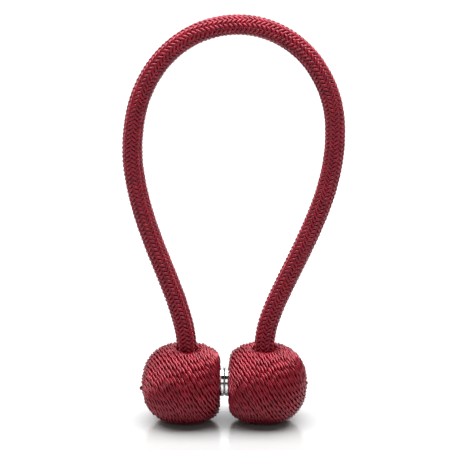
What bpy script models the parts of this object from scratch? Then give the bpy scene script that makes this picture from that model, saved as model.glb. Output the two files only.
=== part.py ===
# Magnetic curtain tieback: a braided rope with its two ends set in wound balls,
# which hold a pair of disc magnets face to face.
# Metres, +Z up, the balls standing on Z = 0. X runs along the magnets' axis.
# The origin is on the floor, midway between the balls.

import math

import bmesh
import bpy
import numpy as np
from mathutils import Matrix, Vector

MM = 0.001
CLEARANCE = 0.3 * MM  # left between pieces that touch
MERGE_DISTANCE = 0.01 * MM

# Disc magnets, partly sunk into the flat sides of the balls
MAGNET_RADIUS = 6.2 * MM
MAGNET_THICKNESS = 3.0 * MM
MAGNET_SHOWN = 1.5 * MM  # how far each stands out of its ball
MAGNET_EDGE = 0.35 * MM
MAGNET_HEIGHT = 17.5 * MM  # a little above the balls' centres
MAGNET_SIDES = 40

# Wound balls, sized to the crests of the winding
BALL_RADIUS = 17.5 * MM
BALL_OUTER_REACH = 17.8 * MM  # from the ball's centre to its outer pole
BALL_FLAT_DEPTH = 15.1 * MM  # from the ball's centre to its flat side
BALL_CENTRE_HEIGHT = 16.7 * MM  # the foot is flat where the round shape would pass the floor
OUTER_FULLNESS = 2.3  # 2 is a true circle, more is boxier
INNER_FULLNESS = 2.85
FLAT_EDGE_SHARPNESS = 24.0

# The winding: turn beside turn about one slanted axis, the same way on both balls
WINDING_AXIS = Vector((0.77, 0.22, 0.60))
WINDING_TURNS = 39
WINDING_DEPTH = 0.4 * MM  # of the valleys between the turns
WINDING_SIDES = 36
FOOT_BLEND = 0.6 * MM  # height above the foot over which the valleys fade

# Rope, and the blind mouths in the tops of the balls that hold its ends
ROPE_RADIUS = 4.35 * MM
ROPE_END_HEIGHT = 25.0 * MM
ROPE_STEP = 9.0 * MM  # between the tube's points
MOUTH_RADIUS = ROPE_RADIUS + CLEARANCE
MOUTH_DIP = 0.7 * MM  # how far the winding dips into the mouth
MOUTH_DIP_WIDTH = 2.2 * MM
MOUTH_SIDES = 32

# Each ball, with its side and how far its mouth lies from its centre, towards the magnets
BALLS = {
    "left": {"side": -1, "mouth_offset": 0.85 * MM},
    "right": {"side": 1, "mouth_offset": 0.0},
}
BALL_CENTRE_X = CLEARANCE / 2 + MAGNET_SHOWN + BALL_FLAT_DEPTH

# The rope's route in the plane Y = 0, as (x, z) in millimetres, from left mouth to right
ROUTE_MM = [
    (-15.9, 25.0),
    (-15.9, 32.5),
    (-16.85, 41.5),
    (-20.35, 54.3),
    (-24.85, 66.8),
    (-29.5, 79.3),
    (-33.6, 91.9),
    (-36.75, 104.9),
    (-38.45, 117.8),
    (-37.95, 131.0),
    (-35.35, 143.8),
    (-30.0, 155.6),
    (-21.9, 165.6),
    (-11.3, 172.8),
    (0.8, 176.3),
    (13.3, 175.8),
    (25.0, 171.1),
    (34.8, 162.7),
    (41.7, 151.6),
    (45.5, 139.4),
    (46.3, 126.2),
    (44.9, 113.2),
    (41.75, 100.4),
    (37.2, 87.9),
    (31.95, 75.7),
    (26.4, 63.7),
    (21.1, 51.6),
    (18.0, 42.0),
    (16.75, 33.0),
    (16.75, 25.0),
]

MATERIALS = {
    "braid": {"colour": (0.26, 0.018, 0.035, 1.0), "roughness": 0.7, "metallic": 0.0},
    "winding": {"colour": (0.33, 0.022, 0.045, 1.0), "roughness": 0.45, "metallic": 0.0},
    "nickel": {"colour": (0.78, 0.78, 0.77, 1.0), "roughness": 0.16, "metallic": 1.0},
}


def smooth_step(value, low, high):
    t = min(max((value - low) / (high - low), 0.0), 1.0)
    return t * t * (3.0 - 2.0 * t)


def make_material(name):
    look = MATERIALS[name]
    material = bpy.data.materials.new(name)
    material.use_nodes = True
    shader = material.node_tree.nodes["Principled BSDF"]
    shader.inputs["Base Color"].default_value = look["colour"]
    shader.inputs["Roughness"].default_value = look["roughness"]
    shader.inputs["Metallic"].default_value = look["metallic"]
    material.diffuse_color = look["colour"]
    return material


def add_object(name, data, material, parent):
    piece = bpy.data.objects.new(name, data)
    piece.data.materials.append(material)
    piece.parent = parent
    bpy.context.scene.collection.objects.link(piece)
    return piece


def mesh_from(bm, name):
    bmesh.ops.recalc_face_normals(bm, faces=bm.faces)
    mesh = bpy.data.meshes.new(name)
    bm.to_mesh(mesh)
    bm.free()
    mesh.shade_smooth()
    mesh.set_sharp_from_angle(angle=math.radians(30.0))
    return mesh


# The ball's outline beside X: how far its surface is from its centre at an angle from +X.
# The side at +X is fuller and cut by the flat.
def outline_distance(angle):
    x, across = math.cos(angle), math.sin(angle)
    fullness, reach = (INNER_FULLNESS, BALL_RADIUS) if x > 0 else (OUTER_FULLNESS, BALL_OUTER_REACH)
    distance = (abs(x / reach) ** fullness + (across / BALL_RADIUS) ** fullness) ** (-1.0 / fullness)
    if x > 0:
        to_flat = BALL_FLAT_DEPTH / x
        power = FLAT_EDGE_SHARPNESS
        distance = (distance**-power + to_flat**-power) ** (-1.0 / power)
    return distance


# A ball about its centre, with a row of points along each crest and each valley of the
# winding. Its flat side is at +X on the left ball and at -X on the right one.
def ball_mesh(name, side, mouth_offset):
    bm = bmesh.new()
    rows = 2 * WINDING_TURNS
    bmesh.ops.create_uvsphere(bm, u_segments=WINDING_SIDES, v_segments=rows, radius=1.0)
    upright = Vector((0.0, 0.0, 1.0))
    lean = upright.rotation_difference(WINDING_AXIS)
    for point in bm.verts:
        row = round(rows * point.co.angle(upright) / math.pi)
        direction = lean @ point.co
        surface = direction * outline_distance(direction.angle(Vector((-side, 0.0, 0.0))))
        over_foot = smooth_step(surface.z + BALL_CENTRE_HEIGHT, 0.0, FOOT_BLEND)
        point.co = surface - direction * WINDING_DEPTH * over_foot * (row % 2)
        if point.co.z > 0:
            from_rope = math.hypot(point.co.x + side * mouth_offset, point.co.y) - MOUTH_RADIUS
            point.co.z -= MOUTH_DIP * (1.0 - smooth_step(from_rope, 0.0, MOUTH_DIP_WIDTH))
    foot = bmesh.ops.bisect_plane(
        bm,
        geom=bm.verts[:] + bm.edges[:] + bm.faces[:],
        dist=MERGE_DISTANCE,
        plane_co=(0.0, 0.0, -BALL_CENTRE_HEIGHT),
        plane_no=(0.0, 0.0, -1.0),
        clear_outer=True,
    )
    rim = [e for e in foot["geom_cut"] if isinstance(e, bmesh.types.BMEdge)]
    bmesh.ops.contextual_create(bm, geom=rim)
    return mesh_from(bm, name)


# A disc along X, centred on the origin.
def disc_mesh(name, radius, thickness, edge):
    bm = bmesh.new()
    bmesh.ops.create_cone(
        bm, cap_ends=True, segments=MAGNET_SIDES, radius1=radius, radius2=radius, depth=thickness
    )
    bmesh.ops.rotate(bm, verts=bm.verts, matrix=Matrix.Rotation(math.pi / 2, 3, "Y"))
    bm.normal_update()
    if edge:
        rims = [e for e in bm.edges if abs(e.verts[0].co.x - e.verts[1].co.x) < edge / 10]
        bmesh.ops.bevel(
            bm, geom=rims, offset=edge, segments=2, profile=0.5, affect="EDGES", clamp_overlap=True
        )
    return mesh_from(bm, name)


def add_ball(name, side, mouth_offset, material, parent):
    mesh = ball_mesh(f"ball_{name}", side, mouth_offset)
    ball = add_object(f"ball_{name}", mesh, material, parent)
    ball.location = (side * BALL_CENTRE_X, 0.0, BALL_CENTRE_HEIGHT)
    return ball


def add_magnet(name, side, material, parent):
    mesh = disc_mesh(f"magnet_{name}", MAGNET_RADIUS, MAGNET_THICKNESS, MAGNET_EDGE)
    magnet = add_object(f"magnet_{name}", mesh, material, parent)
    magnet.location = (side * (CLEARANCE / 2 + MAGNET_THICKNESS / 2), 0.0, MAGNET_HEIGHT)
    return magnet


# Takes a shape away from a ball, with its tool kept out of sight.
def cut(ball, name, mesh, place, parent):
    tool = bpy.data.objects.new(name, mesh)
    bpy.context.scene.collection.objects.link(tool)
    tool.parent = parent
    tool.location = place
    tool.hide_render = True
    tool.display_type = "WIRE"
    modifier = ball.modifiers.new(name, "BOOLEAN")
    modifier.operation = "DIFFERENCE"
    modifier.object = tool
    modifier.solver = "EXACT"


# The blind mouth for the rope's end, in the top of the ball.
def cut_mouth(name, side, mouth_offset, ball, parent):
    bm = bmesh.new()
    bmesh.ops.create_cone(
        bm,
        cap_ends=True,
        segments=MOUTH_SIDES,
        radius1=MOUTH_RADIUS,
        radius2=MOUTH_RADIUS,
        depth=BALL_RADIUS,
    )
    place = (
        side * (BALL_CENTRE_X - mouth_offset),
        0.0,
        ROPE_END_HEIGHT - CLEARANCE + BALL_RADIUS / 2,
    )
    cut(ball, f"mouth_{name}", mesh_from(bm, f"mouth_{name}"), place, parent)


# The recess for the magnet, in the flat side of the ball.
def cut_recess(name, side, ball, parent):
    reach = CLEARANCE / 2 + MAGNET_THICKNESS + CLEARANCE
    mesh = disc_mesh(f"recess_{name}", MAGNET_RADIUS + CLEARANCE, reach, 0.0)
    cut(ball, f"recess_{name}", mesh, (side * reach / 2, 0.0, MAGNET_HEIGHT), parent)


# Points evenly spaced along a smooth curve through the route's own points.
def rope_points():
    route = np.array([(x, 0.0, z) for x, z in ROUTE_MM]) * MM
    ends = np.vstack((2 * route[0] - route[1], route, 2 * route[-1] - route[-2]))
    fine = []
    for before, start, stop, after in zip(ends, ends[1:], ends[2:], ends[3:]):
        for t in np.linspace(0.0, 1.0, 24, endpoint=False):
            fine.append(
                0.5
                * (
                    2 * start
                    + (stop - before) * t
                    + (2 * before - 5 * start + 4 * stop - after) * t**2
                    + (3 * start - before - 3 * stop + after) * t**3
                )
            )
    fine = np.vstack((fine, route[-1]))
    along = np.concatenate(([0.0], np.cumsum(np.linalg.norm(np.diff(fine, axis=0), axis=1))))
    count = round(along[-1] / ROPE_STEP) + 1
    places = np.linspace(0.0, along[-1], count)
    return np.stack([np.interp(places, along, fine[:, axis]) for axis in range(3)], axis=1)


def add_rope(material, parent):
    curve = bpy.data.curves.new("rope", "CURVE")
    curve.dimensions = "3D"
    curve.bevel_depth = ROPE_RADIUS
    curve.bevel_resolution = 4
    curve.use_fill_caps = True
    points = rope_points()
    spline = curve.splines.new("POLY")
    spline.points.add(len(points) - 1)
    for slot, point in zip(spline.points, points):
        slot.co = (*point, 1.0)
    return add_object("rope", curve, material, parent)


def build():
    for piece in list(bpy.data.objects):
        bpy.data.objects.remove(piece, do_unlink=True)
    materials = {name: make_material(name) for name in MATERIALS}
    tieback = bpy.data.objects.new("tieback", None)
    bpy.context.scene.collection.objects.link(tieback)
    add_rope(materials["braid"], tieback)
    for name, place in BALLS.items():
        ball = add_ball(name, place["side"], place["mouth_offset"], materials["winding"], tieback)
        cut_mouth(name, place["side"], place["mouth_offset"], ball, tieback)
        cut_recess(name, place["side"], ball, tieback)
        add_magnet(name, place["side"], materials["nickel"], tieback)
    bpy.context.view_layer.update()


build()
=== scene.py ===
import math

import bmesh
import bpy
import numpy as np
from mathutils import Matrix, Vector


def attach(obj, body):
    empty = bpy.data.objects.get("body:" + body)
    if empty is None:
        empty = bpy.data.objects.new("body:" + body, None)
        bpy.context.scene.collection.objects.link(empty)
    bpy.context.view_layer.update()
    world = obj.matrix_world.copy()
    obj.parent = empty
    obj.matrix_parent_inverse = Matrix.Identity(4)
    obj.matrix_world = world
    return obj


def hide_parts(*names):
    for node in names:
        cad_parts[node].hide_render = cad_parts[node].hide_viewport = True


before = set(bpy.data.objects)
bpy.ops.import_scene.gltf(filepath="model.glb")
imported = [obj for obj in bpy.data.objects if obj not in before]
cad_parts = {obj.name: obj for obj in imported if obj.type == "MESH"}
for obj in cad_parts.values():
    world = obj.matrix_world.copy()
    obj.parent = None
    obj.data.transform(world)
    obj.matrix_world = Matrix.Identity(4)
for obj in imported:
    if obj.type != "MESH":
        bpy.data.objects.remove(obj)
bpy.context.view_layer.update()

mm = 0.001

# Helpers


def smoothNoise(count, spacing, seed):  # values around 0, even and slow, for hand-made unevenness
    rng = np.random.default_rng(seed)
    knots = rng.uniform(-1.0, 1.0, int(count / spacing) + 4)
    places = np.arange(count) / spacing
    left = places.astype(int)
    t = places - left
    t = t * t * (3.0 - 2.0 * t)
    return knots[left] * (1.0 - t) + knots[left + 1] * t


def smoothStep(values, low, high):
    t = np.clip((values - low) / (high - low), 0.0, 1.0)
    return t * t * (3.0 - 2.0 * t)


def unit(vectors):
    return vectors / np.linalg.norm(vectors, axis=1)[:, None]


def setInputs(node, values):
    for socket, value in values.items():
        node.inputs[socket].default_value = value


def addNode(tree, kind, values=None):
    node = tree.nodes.new("ShaderNode" + kind)
    setInputs(node, values or {})
    return node


def newMaterial(name):
    material = bpy.data.materials.new(name)
    material.use_nodes = True
    tree = material.node_tree
    return material, tree, tree.nodes["Principled BSDF"]


def strandMesh(name, strands, radius, resolution):  # round yarns that follow lists of points
    curve = bpy.data.curves.new(name, "CURVE")
    curve.dimensions = "3D"
    curve.bevel_depth = radius
    curve.bevel_resolution = resolution
    curve.use_fill_caps = True
    for points in strands:
        spline = curve.splines.new("POLY")
        spline.points.add(len(points) - 1)
        spline.points.foreach_set("co", np.column_stack((points, np.ones(len(points)))).ravel())
    carrier = bpy.data.objects.new(name + "Curve", curve)
    bpy.context.scene.collection.objects.link(carrier)
    graph = bpy.context.evaluated_depsgraph_get()
    mesh = bpy.data.meshes.new_from_object(carrier.evaluated_get(graph))
    bpy.data.objects.remove(carrier, do_unlink=True)
    mesh.name = name
    mesh.shade_smooth()
    return mesh


def addPiece(name, mesh, material):
    piece = bpy.data.objects.new(name, mesh)
    bpy.context.scene.collection.objects.link(piece)
    mesh.materials.clear()
    mesh.materials.append(material)
    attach(piece, "root")
    return piece


# Camera, floor and light

view = {
    "target": (0.27 * mm, 0.0, 87.94 * mm),
    "elevation": 20.0,
    "distance": 3.0,
    "frameWidth": 189.0 * mm,  # what the picture spans at the target
    "sensorWidth": 36.0,
    "clip": (0.05, 50.0),
}
studio = {
    "floorSize": 6.0,
    "floorColour": (0.43, 0.43, 0.43, 1.0),
    "floorRoughness": 0.18,
    "floorGloss": 0.8,
    "worldStrength": 1.0,
    "worldBands": [  # height of a direction, from -1 to 1, and its brightness
        (-0.1, 0.02),
        (0.1, 0.02),
        (0.2, 0.42),
        (0.5, 0.42),
        (0.64, 0.02),
    ],
    "lights": {
        "topLight": {
            "size": (1.9, 1.0),
            "place": (0.0, 0.05, 1.1),
            "aim": (0.0, 0.05, 0.0),
            "power": 52.0,
        },
        "backLight": {
            "size": (2.6, 1.7),
            "place": (0.0, 1.4, 1.1),
            "aim": (0.0, 0.0, 0.03),
            "power": 15.0,
        },
        "frontLight": {
            "size": (0.5, 0.45),
            "place": (0.0, -1.07, 0.56),
            "aim": (0.0, 0.0, 0.03),
            "power": 0.7,
        },
    },
}


def makeCamera():
    data = bpy.data.cameras.new("camera")
    camera = bpy.data.objects.new("camera", data)
    bpy.context.scene.collection.objects.link(camera)
    lift = math.radians(view["elevation"])
    away = Vector((0.0, -math.cos(lift), math.sin(lift)))
    camera.location = Vector(view["target"]) + away * view["distance"]
    camera.rotation_euler = (math.radians(90.0) - lift, 0.0, 0.0)
    data.sensor_width = view["sensorWidth"]
    data.lens = view["sensorWidth"] * view["distance"] / view["frameWidth"]
    data.clip_start, data.clip_end = view["clip"]
    bpy.context.scene.camera = camera


def makeFloor():
    bm = bmesh.new()
    bmesh.ops.create_grid(bm, x_segments=2, y_segments=2, size=studio["floorSize"] / 2)
    mesh = bpy.data.meshes.new("floor")
    bm.to_mesh(mesh)
    bm.free()
    floor = bpy.data.objects.new("floor", mesh)
    bpy.context.scene.collection.objects.link(floor)
    paper, _, shader = newMaterial("paper")
    setInputs(shader, {
        "Base Color": studio["floorColour"],
        "Roughness": studio["floorRoughness"],
        "Specular IOR Level": studio["floorGloss"],
    })
    mesh.materials.append(paper)


def makeWorld():  # a pale band round the horizon, dark above and below
    world = bpy.data.worlds.new("studio")
    world.use_nodes = True
    tree = world.node_tree
    sky = tree.nodes["Background"]
    setInputs(sky, {"Strength": studio["worldStrength"]})
    coords = addNode(tree, "TexCoord")
    height = addNode(tree, "SeparateXYZ")
    tree.links.new(coords.outputs["Generated"], height.inputs["Vector"])
    spread = addNode(tree, "MapRange", {"From Min": -1.0})
    tree.links.new(height.outputs["Z"], spread.inputs["Value"])
    bands = addNode(tree, "ValToRGB")
    tree.links.new(spread.outputs["Result"], bands.inputs["Fac"])
    tree.links.new(bands.outputs["Color"], sky.inputs["Color"])
    stops = bands.color_ramp.elements
    while len(stops) < len(studio["worldBands"]):
        stops.new(0.5)
    for stop, (place, level) in zip(stops, studio["worldBands"]):
        stop.position = (place + 1.0) / 2.0
        stop.color = (level, level, level, 1.0)
    bpy.context.scene.world = world


def makeLights():
    for name, panel in studio["lights"].items():
        light = bpy.data.lights.new(name, "AREA")
        light.shape = "RECTANGLE"
        light.size, light.size_y = panel["size"]
        light.energy = panel["power"]
        lamp = bpy.data.objects.new(name, light)
        lamp.location = panel["place"]
        towards = Vector(panel["aim"]) - Vector(panel["place"])
        lamp.rotation_euler = towards.to_track_quat("-Z", "Y").to_euler()
        bpy.context.scene.collection.objects.link(lamp)


bpy.context.scene.view_settings.view_transform = "Standard"
makeCamera()
makeFloor()
makeWorld()
makeLights()
print("camera and studio ready")

# Materials: silky yarns and nickel plate

yarnLooks = {
    "braidYarn": {
        "dark": (0.125, 0.003, 0.010, 1.0),
        "light": (0.29, 0.008, 0.023, 1.0),
        "roughness": 0.33,
        "metallic": 0.2,
        "gloss": (1.0, 0.92, 0.98, 1.0),
        "glossLevel": 0.44,
        "fibres": (900.0, 3.0),
        "bump": 0.5,
    },
    "windingCord": {
        "dark": (0.12, 0.0005, 0.005, 1.0),
        "light": (0.31, 0.003, 0.018, 1.0),
        "roughness": 0.31,
        "metallic": 0.42,
        "gloss": (1.0, 0.9, 0.96, 1.0),
        "glossLevel": 0.78,
        "fibres": (2500.0, 3.0),
        "bump": 0.4,
    },
    # painted shade: the cord's red made darker, for what shows in the gaps between the ball's turns and
    # between the rope's floats
    "underLayerPaintedShade": {
        "dark": (0.12, 0.0003, 0.002, 1.0),
        "light": (0.20, 0.0006, 0.004, 1.0),
        "roughness": 0.8,
        "metallic": 0.0,
        "gloss": (1.0, 0.9, 0.92, 1.0),
        "glossLevel": 0.0,
        "fibres": (600.0, 6.0),
        "bump": 0.4,
    },
}
yarnGrain = {  # the same for all yarns
    "fibreDetail": 3.0,
    "patchScale": 260.0,
    "patchDetail": 4.0,
    "fibreShare": 0.5,  # of the colour's variation, the patches make the rest
    "ramp": (0.32, 0.68),
    "bumpDepth": 0.08 * mm,
}


def makeYarn(name):
    look = yarnLooks[name]
    material, tree, shader = newMaterial(name)
    coords = addNode(tree, "TexCoord")
    stretch = addNode(tree, "Mapping", {"Scale": (*look["fibres"], 1.0)})
    tree.links.new(coords.outputs["UV"], stretch.inputs["Vector"])
    fibres = addNode(tree, "TexNoise", {"Scale": 1.0, "Detail": yarnGrain["fibreDetail"]})
    tree.links.new(stretch.outputs["Vector"], fibres.inputs["Vector"])
    patches = addNode(tree, "TexNoise")
    setInputs(patches, {"Scale": yarnGrain["patchScale"], "Detail": yarnGrain["patchDetail"]})
    tree.links.new(coords.outputs["Object"], patches.inputs["Vector"])
    patchPart = addNode(tree, "Math", {1: 1.0 - yarnGrain["fibreShare"]})
    patchPart.operation = "MULTIPLY"
    tree.links.new(patches.outputs["Fac"], patchPart.inputs[0])
    blend = addNode(tree, "Math", {1: yarnGrain["fibreShare"]})
    blend.operation = "MULTIPLY_ADD"
    tree.links.new(fibres.outputs["Fac"], blend.inputs[0])
    tree.links.new(patchPart.outputs[0], blend.inputs[2])
    ramp = addNode(tree, "ValToRGB")
    colours = (look["dark"], look["light"])
    for stop, place, colour in zip(ramp.color_ramp.elements, yarnGrain["ramp"], colours):
        stop.position = place
        stop.color = colour
    tree.links.new(blend.outputs[0], ramp.inputs["Fac"])
    tree.links.new(ramp.outputs["Color"], shader.inputs["Base Color"])
    bump = addNode(tree, "Bump", {"Strength": look["bump"], "Distance": yarnGrain["bumpDepth"]})
    tree.links.new(fibres.outputs["Fac"], bump.inputs["Height"])
    tree.links.new(bump.outputs["Normal"], shader.inputs["Normal"])
    setInputs(shader, {
        "Roughness": look["roughness"],
        "Specular IOR Level": look["glossLevel"],
        "Specular Tint": look["gloss"],
        "Metallic": look["metallic"],
    })
    return material


nickelLook = {
    "bright": (0.80, 0.80, 0.79, 1.0),
    "paintedSeamShade": (0.012, 0.012, 0.012, 1.0),
    "seam": (0.27 * mm, 0.36 * mm),  # painted shade up to the first, bright nickel past the second
    "roughness": (0.04, 0.12),
    "smudgeScale": 420.0,
    "smudgeDetail": 5.0,
    "bump": 0.15,
    "bumpDepth": 0.05 * mm,
}


def makeNickel():
    look = nickelLook
    material, tree, shader = newMaterial("nickelPlateSeamShade")
    setInputs(shader, {"Metallic": 1.0})
    coords = addNode(tree, "TexCoord")
    # painted shade in the seam: the base colour turns near-black within 0.27 mm of the discs' faces, where
    # the groove between them holds shade
    along = addNode(tree, "SeparateXYZ")
    tree.links.new(coords.outputs["Object"], along.inputs["Vector"])
    away = addNode(tree, "Math")
    away.operation = "ABSOLUTE"
    tree.links.new(along.outputs["X"], away.inputs[0])
    seam = addNode(tree, "MapRange", {"From Min": look["seam"][0], "From Max": look["seam"][1]})
    tree.links.new(away.outputs[0], seam.inputs["Value"])
    ramp = addNode(tree, "ValToRGB")
    ramp.color_ramp.elements[0].color = look["paintedSeamShade"]
    ramp.color_ramp.elements[1].color = look["bright"]
    tree.links.new(seam.outputs["Result"], ramp.inputs["Fac"])
    tree.links.new(ramp.outputs["Color"], shader.inputs["Base Color"])
    smudges = addNode(tree, "TexNoise", {"Scale": look["smudgeScale"], "Detail": look["smudgeDetail"]})
    tree.links.new(coords.outputs["Object"], smudges.inputs["Vector"])
    spread = addNode(tree, "MapRange", {"To Min": look["roughness"][0], "To Max": look["roughness"][1]})
    tree.links.new(smudges.outputs["Fac"], spread.inputs["Value"])
    tree.links.new(spread.outputs["Result"], shader.inputs["Roughness"])
    bump = addNode(tree, "Bump", {"Strength": look["bump"], "Distance": look["bumpDepth"]})
    tree.links.new(smudges.outputs["Fac"], bump.inputs["Height"])
    tree.links.new(bump.outputs["Normal"], shader.inputs["Normal"])
    return material


braidYarn = makeYarn("braidYarn")
windingCord = makeYarn("windingCord")
underLayerPaintedShade = makeYarn("underLayerPaintedShade")
nickelPlateSeamShade = makeNickel()
print("materials ready")

# Rope: a tubular braid over a core

ropeLook = {
    "diameter": 8.7 * mm,
    "carriers": 12,  # each way
    "chevronPitch": 1.93 * mm,
    "yarnRadius": 0.66 * mm,
    "overRadius": 3.74 * mm,
    "underRadius": 2.7 * mm,
    "rise": 0.7,  # below 1 a yarn comes up early and stays up long
    "coreRadius": 3.0 * mm,
    "coreStep": 3.0 * mm,
    "pathStep": 9.0 * mm,
    "exitHeight": 33.0 * mm,
    "samplesPerFloat": 12,
    "samplesPerSpan": 24,  # of the smooth curve between two of the route's points
    "roundness": (1, 4),  # bevel resolution of a yarn and of the core
    "wander": 0.22,  # how far the columns of floats drift round the rope, in radians
    "wanderSpacing": 60.0,  # samples from one drift to the next
    "wanderSeed": 5,
}
ropeRoute = [  # x and z in millimetres, from the left ball's mouth over the top to the right one's
    (-15.9, 25.0), (-15.9, 32.5), (-16.85, 41.5), (-20.35, 54.3), (-24.85, 66.8), (-29.5, 79.3),
    (-33.6, 91.9), (-36.75, 104.9), (-38.45, 117.8), (-37.95, 131.0), (-35.35, 143.8), (-30.0, 155.6),
    (-21.9, 165.6), (-11.3, 172.8), (0.8, 176.3), (13.3, 175.8), (25.0, 171.1), (34.8, 162.7),
    (41.7, 151.6), (45.5, 139.4), (46.3, 126.2), (44.9, 113.2), (41.75, 100.4), (37.2, 87.9),
    (31.95, 75.7), (26.4, 63.7), (21.1, 51.6), (18.0, 42.0), (16.75, 33.0), (16.75, 25.0),
]


def smoothRoute(step):  # evenly spaced points along the route, and its length
    route = np.array([(x, 0.0, z) for x, z in ropeRoute]) * mm
    ends = np.vstack((2 * route[0] - route[1], route, 2 * route[-1] - route[-2]))
    fine = []
    for before, start, stop, after in zip(ends, ends[1:], ends[2:], ends[3:]):
        for t in np.linspace(0.0, 1.0, ropeLook["samplesPerSpan"], endpoint=False):
            fine.append(
                0.5 * (2 * start + (stop - before) * t + (2 * before - 5 * start + 4 * stop - after) * t**2
                       + (3 * start - before - 3 * stop + after) * t**3)
            )
    fine = np.vstack((fine, route[-1]))
    along = np.concatenate(([0.0], np.cumsum(np.linalg.norm(np.diff(fine, axis=0), axis=1))))
    places = np.linspace(0.0, along[-1], round(along[-1] / step) + 1)
    return np.stack([np.interp(places, along, fine[:, axis]) for axis in range(3)], axis=1), along[-1]


def braidStrands(direction):  # yarns that wind one way round the rope, over two and under two
    n = ropeLook["carriers"]
    turnRate = 2 * math.pi / (n * ropeLook["chevronPitch"])
    step = 2 * math.pi / turnRate / (n / 2) / ropeLook["samplesPerFloat"]
    centre, length = smoothRoute(step)
    count = len(centre)
    along = np.linspace(0.0, length, count)
    tangent = unit(np.gradient(centre, axis=0))
    side = np.tile((0.0, 1.0, 0.0), (count, 1))
    normal = np.cross(side, tangent)
    drift = ropeLook["wander"] * smoothNoise(count, ropeLook["wanderSpacing"], ropeLook["wanderSeed"])
    strands = []
    for i in range(n):
        angle = 2 * math.pi * i / n + direction * turnRate * along
        crossings = n * angle / math.pi - 0.5  # yarns met that wind the other way
        wave = np.cos(2 * math.pi * crossings / 4) * direction
        lift = ((wave + 1) / 2) ** ropeLook["rise"]
        radius = ropeLook["underRadius"] + (ropeLook["overRadius"] - ropeLook["underRadius"]) * lift
        turned = angle + drift
        ring = np.cos(turned)[:, None] * normal + np.sin(turned)[:, None] * side
        strands.append(centre + radius[:, None] * ring)
    return strands


def makeRope():
    path, length = smoothRoute(ropeLook["pathStep"])
    yarnRoundness, coreRoundness = ropeLook["roundness"]
    for name, direction in (("ropeBraidS", 1), ("ropeBraidZ", -1)):
        mesh = strandMesh(name, braidStrands(direction), ropeLook["yarnRadius"], yarnRoundness)
        addPiece(name, mesh, braidYarn)
    middle, _ = smoothRoute(ropeLook["coreStep"])
    # the core takes the darkened under layer: painted shade in the gaps between the floats
    core = strandMesh("ropeCore", [middle], ropeLook["coreRadius"], coreRoundness)
    addPiece("ropeCore", core, underLayerPaintedShade)
    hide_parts("rope")


makeRope()

# Balls: a two-ply cord wound turn beside turn about a slanted axis

ballLook = {
    "radius": 17.5 * mm,
    "outerReach": 18.05 * mm,
    "flatDepth": 14.75 * mm,
    "centreHeight": 16.7 * mm,
    "centreX": 16.75 * mm,
    "outerFullness": 2.3,
    "innerFullness": 2.6,
    "edgeSharpness": 24.0,
    "axis": (0.80, 0.205, 0.565),  # up to the right, the same on both balls
    "turnPitch": 1.34 * mm,
    "poleGap": 0.024,  # how near its poles the winding starts and ends, in radians
    "poleRadius": 0.6 * mm,  # on rings smaller than this, every step turns by the same angle
    "latitudeLimit": 1.56,  # just short of the poles, in radians
    "bend": 0.11,  # each turn is a little steeper in front than at its ends
    "bendPlace": 0.445,
    "plyRadius": 0.42 * mm,
    "plyRoundness": 1,  # bevel resolution
    "plySwing": (0.3 * mm, 0.27 * mm),  # how far a ply swings outwards and sideways in its cord
    "plyPitch": 7.4 * mm,
    "proud": 0.33 * mm,  # the crests stand out of the mean outline
    "beadDepth": 0.9 * mm,
    "beadFloor": 0.3 * mm,
    "beadSegments": (72, 48),
    "wander": (0.16 * mm, 30.0),  # how far a turn strays sideways, and the samples between strays
    "lift": 0.23 * mm,
    "liftWaves": ((0.5, 40.0), (0.7, 11.0)),  # share of the lift, and the samples between waves
    "twistWander": (0.5, 30.0),  # radians, and samples
    "step": 0.345 * mm,
    "recessRise": 0.8 * mm,
    "recessRadius": 7.4 * mm,  # the turns pass under the magnet's rim inside this radius
    "recessDip": (1.9 * mm, 1.0 * mm),  # its depth, and the width of its slope
    "mouthRadius": 4.9 * mm,
    "mouthDips": (  # depth, and where the slope starts and ends, from the mouth's rim
        (1.0 * mm, 0.0, 2.4 * mm),
        (5.0 * mm, -1.6 * mm, 0.4 * mm),
    ),
}
ballPlaces = {  # mouth: how far it lies from the ball's centre, towards the magnets
    "left": {"side": -1, "mouth": 0.85 * mm, "seed": 20},
    "right": {"side": 1, "mouth": 0.0, "seed": 30},
}


def onBall(directions, side):  # points of the ball's outline, from its centre
    x = -side * directions[:, 0]
    r = np.sqrt(np.maximum(1.0 - x**2, 0.0))
    fullness = np.where(x > 0, ballLook["innerFullness"], ballLook["outerFullness"])
    longest = np.where(x > 0, ballLook["radius"], ballLook["outerReach"])
    reach = (np.abs(x / longest) ** fullness + (r / ballLook["radius"]) ** fullness) ** (-1.0 / fullness)
    power = ballLook["edgeSharpness"]
    tiny = 1e-6
    toFlat = ballLook["flatDepth"] / np.maximum(x, tiny)
    flat = (reach**-power + toFlat**-power) ** (-1.0 / power)
    return directions * np.where(x > 0, flat, reach)[:, None]


def outwardOf(directions, side):  # the outline's normals
    step = 1e-3
    steep = 0.8
    helper = np.where(np.abs(directions[:, 2:]) < steep, (0.0, 0.0, 1.0), (1.0, 0.0, 0.0))
    first = unit(np.cross(directions, helper))
    second = np.cross(directions, first)
    here = onBall(directions, side)
    normals = np.cross(onBall(unit(directions + step * first), side) - here,
                       onBall(unit(directions + step * second), side) - here)
    return unit(normals)


def sink(points, side, mouth):  # where the winding dips into the mouth and under the magnet
    fromMouth = np.hypot(points[:, 0] + side * mouth, points[:, 1])
    rim = ballLook["mouthRadius"]
    dip = np.zeros(len(points))
    for depth, start, stop in ballLook["mouthDips"]:
        dip += depth * (1 - smoothStep(fromMouth, rim + start, rim + stop))
    points[:, 2] -= dip * (points[:, 2] > 0)
    fromAxis = np.hypot(points[:, 1], points[:, 2] - ballLook["recessRise"])
    depth, slope = ballLook["recessDip"]
    rim = ballLook["recessRadius"]
    under = depth * (1 - smoothStep(fromAxis, rim - slope, rim))
    points[:, 0] += side * under * (-side * points[:, 0] > 0)
    return points


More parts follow.
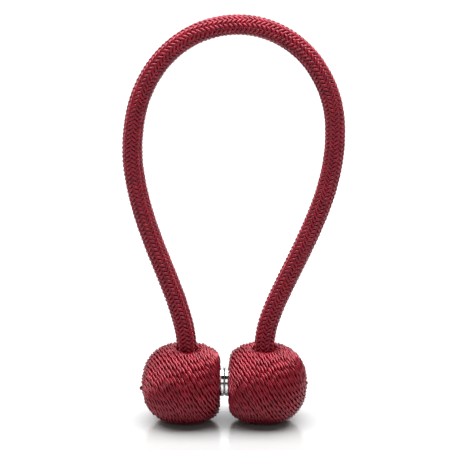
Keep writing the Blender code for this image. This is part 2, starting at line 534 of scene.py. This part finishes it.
def windingTurns(inset):  # latitude and longitude along the cord, about the winding's own axis
    latitudes, longitudes = [], []
    latitude, longitude = -math.pi / 2 + ballLook["poleGap"], 0.0
    while latitude < math.pi / 2 - ballLook["poleGap"]:
        latitudes.append(latitude)
        longitudes.append(longitude)
        ring = (ballLook["radius"] - inset) * math.cos(latitude)
        delta = ballLook["step"] / max(ring, ballLook["poleRadius"])
        longitude += delta
        latitude += ballLook["turnPitch"] / ballLook["radius"] * delta / (2 * math.pi)
    return np.array(latitudes), np.array(longitudes)


def windingDirections(latitude, longitude, seed):  # from the ball's centre, bent and a little uneven
    axis = Vector(ballLook["axis"]).normalized()
    front = axis.cross(Vector((0.0, 0.0, 1.0))).normalized()
    tilted = np.array(front.cross(axis))
    axis, front = np.array(axis), np.array(front)
    stray, spacing = ballLook["wander"]
    shift = stray * smoothNoise(len(latitude), spacing, seed) / ballLook["radius"]
    seen = longitude - ballLook["bendPlace"]
    bend = ballLook["bend"] * np.sin(seen) * np.cos(seen) * np.cos(latitude)
    limit = ballLook["latitudeLimit"]
    latitude = np.clip(latitude + bend + shift, -limit, limit)
    around = np.cos(longitude)[:, None] * front + np.sin(longitude)[:, None] * tilted
    return np.sin(latitude)[:, None] * axis + np.cos(latitude)[:, None] * around


def plyStrands(side, mouth, seed):
    inset = ballLook["plyRadius"] + ballLook["plySwing"][0]
    latitude, longitude = windingTurns(inset)
    count = len(latitude)
    directions = windingDirections(latitude, longitude, seed)
    normal = outwardOf(directions, side)
    waves = np.zeros(count)
    for number, (share, spacing) in enumerate(ballLook["liftWaves"], 1):
        waves += share * smoothNoise(count, spacing, seed + number)
    lift = ballLook["lift"] * waves
    centre = onBall(directions, side) + normal * (lift - inset + ballLook["proud"])[:, None]
    centre = sink(centre, side, mouth)
    tangent = unit(np.gradient(centre, axis=0))
    across = np.cross(normal, tangent)
    twist = 2 * math.pi * ballLook["step"] * np.arange(count) / ballLook["plyPitch"]
    stray, spacing = ballLook["twistWander"]
    twist += stray * smoothNoise(count, spacing, seed + 3)
    out, sideways = ballLook["plySwing"]
    lowest = -ballLook["centreHeight"] + ballLook["plyRadius"]
    strands = []
    for phase in (0.0, math.pi):
        swing = out * np.cos(twist + phase)[:, None] * normal
        points = centre + swing - sideways * np.sin(twist + phase)[:, None] * across
        points[:, 2] = np.maximum(points[:, 2], lowest)
        strands.append(points)
    return strands


def coreMesh(name, side, mouth):  # the dark red layer that shows between the turns, coloured darker than the cord as painted shade in the gaps
    bm = bmesh.new()
    around, upwards = ballLook["beadSegments"]
    bmesh.ops.create_uvsphere(bm, u_segments=around, v_segments=upwards, radius=1.0)
    directions = unit(np.array([point.co for point in bm.verts]))
    points = onBall(directions, side) - ballLook["beadDepth"] * outwardOf(directions, side)
    lowest = -ballLook["centreHeight"] + ballLook["beadFloor"]
    for point, place in zip(bm.verts, sink(points, side, mouth)):
        point.co = (place[0], place[1], max(place[2], lowest))
    bmesh.ops.recalc_face_normals(bm, faces=bm.faces)
    mesh = bpy.data.meshes.new(name)
    bm.to_mesh(mesh)
    bm.free()
    mesh.shade_smooth()
    return mesh


def makeBall(name, side, mouth, seed):
    place = Matrix.Translation((side * ballLook["centreX"], 0.0, ballLook["centreHeight"]))
    plies = plyStrands(side, mouth, seed)
    winding = strandMesh(f"winding_{name}", plies, ballLook["plyRadius"], ballLook["plyRoundness"])
    core = coreMesh(f"bead_{name}", side, mouth)
    for mesh in (winding, core):
        mesh.transform(place)
    wound = addPiece(f"winding_{name}", winding, windingCord)
    addPiece(f"bead_{name}", core, underLayerPaintedShade)
    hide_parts(f"ball_{name}")
    print("ball", name, "made,", len(winding.polygons), "faces")


for name, at in ballPlaces.items():
    makeBall(name, at["side"], at["mouth"], at["seed"])

# The cord's ends, tucked in at the balls' outer sides

endLook = {
    "heights": {"left": 14.5 * mm, "right": 16.8 * mm},
    "reach": {"left": 18.75 * mm, "right": 18.2 * mm},
    "curl": 0.5 * mm,
    "curlSteps": 7,
    "curlTurn": 0.9,  # radians for each step
    "bow": 0.12 * mm,  # a step away from the curl's middle lies this much deeper
    "tuck": 1.6 * mm,
    "radius": 0.48 * mm,
    "roundness": 2,  # bevel resolution
}


def makeCordEnd(name, side):
    x = side * (ballLook["centreX"] + endLook["reach"][name])
    curl = endLook["curl"]
    curve = []
    for t in range(endLook["curlSteps"]):
        deeper = abs(t - endLook["curlSteps"] // 2) * endLook["bow"]
        angle = endLook["curlTurn"] * t
        height = endLook["heights"][name] + curl * math.sin(angle)
        curve.append((x - side * deeper, curl * math.cos(angle), height))
    first, last = [(x - side * endLook["tuck"], p[1], p[2]) for p in (curve[0], curve[-1])]
    end = [first, *curve, last]
    mesh = strandMesh(f"cordEnd_{name}", [end], endLook["radius"], endLook["roundness"])
    addPiece(f"cordEnd_{name}", mesh, windingCord)


for name, at in ballPlaces.items():
    makeCordEnd(name, at["side"])
print("cord ends made")

# Magnets, face to face

magnetLook = {
    "radius": 6.3 * mm,
    "height": 17.5 * mm,
    "back": 3.15 * mm,
    "face": 0.02 * mm,
    "groove": (0.3 * mm, 0.5 * mm),  # half the seam's width, and its depth
    "grooveFloor": 0.6,  # of its width
    "edge": 0.3 * mm,
    "lip": 0.4,  # of the edge, beside the groove
    "corner": 0.3,  # of the edge, at the back
    "sides": 96,
    "mergeDistance": 0.01 * mm,
    "sharpAngle": 30.0,
}


def makeMagnet(name, side):
    radius, back, face, edge = (magnetLook[key] for key in ("radius", "back", "face", "edge"))
    wide, deep = magnetLook["groove"]
    lip, corner = magnetLook["lip"] * edge, magnetLook["corner"] * edge
    profile = [
        (face, 0.0),
        (face, radius - deep),
        (magnetLook["grooveFloor"] * wide, radius - deep),
        (wide, radius - lip),
        (wide + lip, radius),
        (back - edge, radius),
        (back - corner, radius - corner),
        (back, radius - edge),
        (back, 0.0),
    ]
    bm = bmesh.new()
    points = [bm.verts.new((x, 0.0, r)) for x, r in profile]
    for start, stop in zip(points, points[1:]):
        bm.edges.new((start, stop))
    bmesh.ops.spin(
        bm, geom=bm.verts[:] + bm.edges[:], cent=(0, 0, 0), axis=(1, 0, 0), dvec=(0, 0, 0),
        angle=2 * math.pi, steps=magnetLook["sides"], use_merge=True, use_duplicate=False,
    )
    bmesh.ops.remove_doubles(bm, verts=bm.verts, dist=magnetLook["mergeDistance"])
    bmesh.ops.recalc_face_normals(bm, faces=bm.faces)
    mesh = bpy.data.meshes.new(f"disc_{name}")
    bm.to_mesh(mesh)
    bm.free()
    mesh.shade_smooth()
    mesh.set_sharp_from_angle(angle=math.radians(magnetLook["sharpAngle"]))
    turned = Matrix.Rotation(math.pi if side < 0 else 0.0, 4, "Z")
    mesh.transform(Matrix.Translation((0.0, 0.0, magnetLook["height"])) @ turned)
    disc = addPiece(f"disc_{name}", mesh, nickelPlateSeamShade)
    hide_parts(f"magnet_{name}")


for name, at in ballPlaces.items():
    makeMagnet(name, at["side"])
print("magnets made")
